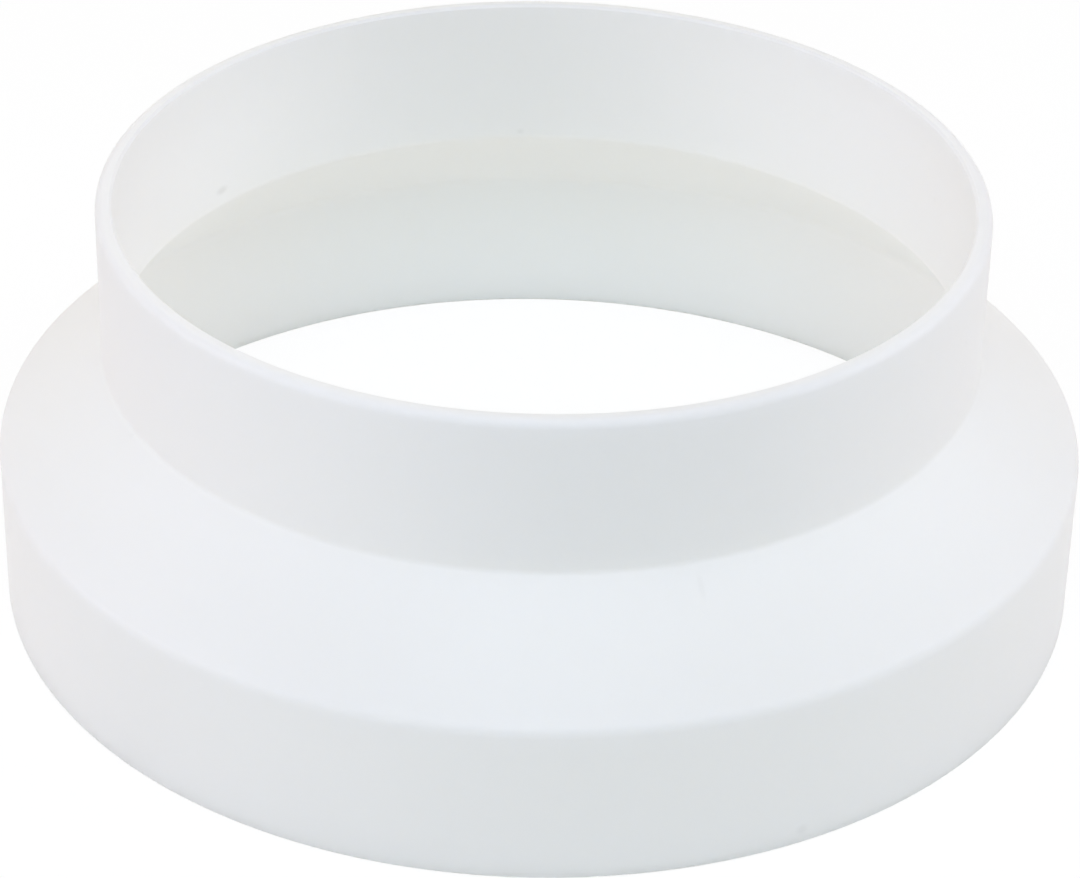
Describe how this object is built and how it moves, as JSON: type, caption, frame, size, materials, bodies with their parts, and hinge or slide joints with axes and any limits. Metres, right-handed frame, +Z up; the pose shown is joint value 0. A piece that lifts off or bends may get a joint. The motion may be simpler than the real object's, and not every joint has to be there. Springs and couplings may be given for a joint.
{
  "type": "duct reducer",
  "caption": "Round white plastic duct reducer with a wide collar, a cone and a narrow spigot, joining a larger round air duct to a smaller one.",
  "frame": {"origin": "centre of the collar's rim, on the plane that the part stands on", "axes": "+Z up the duct's axis, from the wide collar to the narrow spigot; X and Y are any two directions across the round part, with -Y towards the viewer"},
  "size_m": [0.1236, 0.1236, 0.0483],
  "materials": {
    "white_plastic": "white moulded plastic with a soft satin sheen"
  },
  "bodies": {
    "root": {"reducer_body": "white_plastic"}
  },
  "joints": []
}
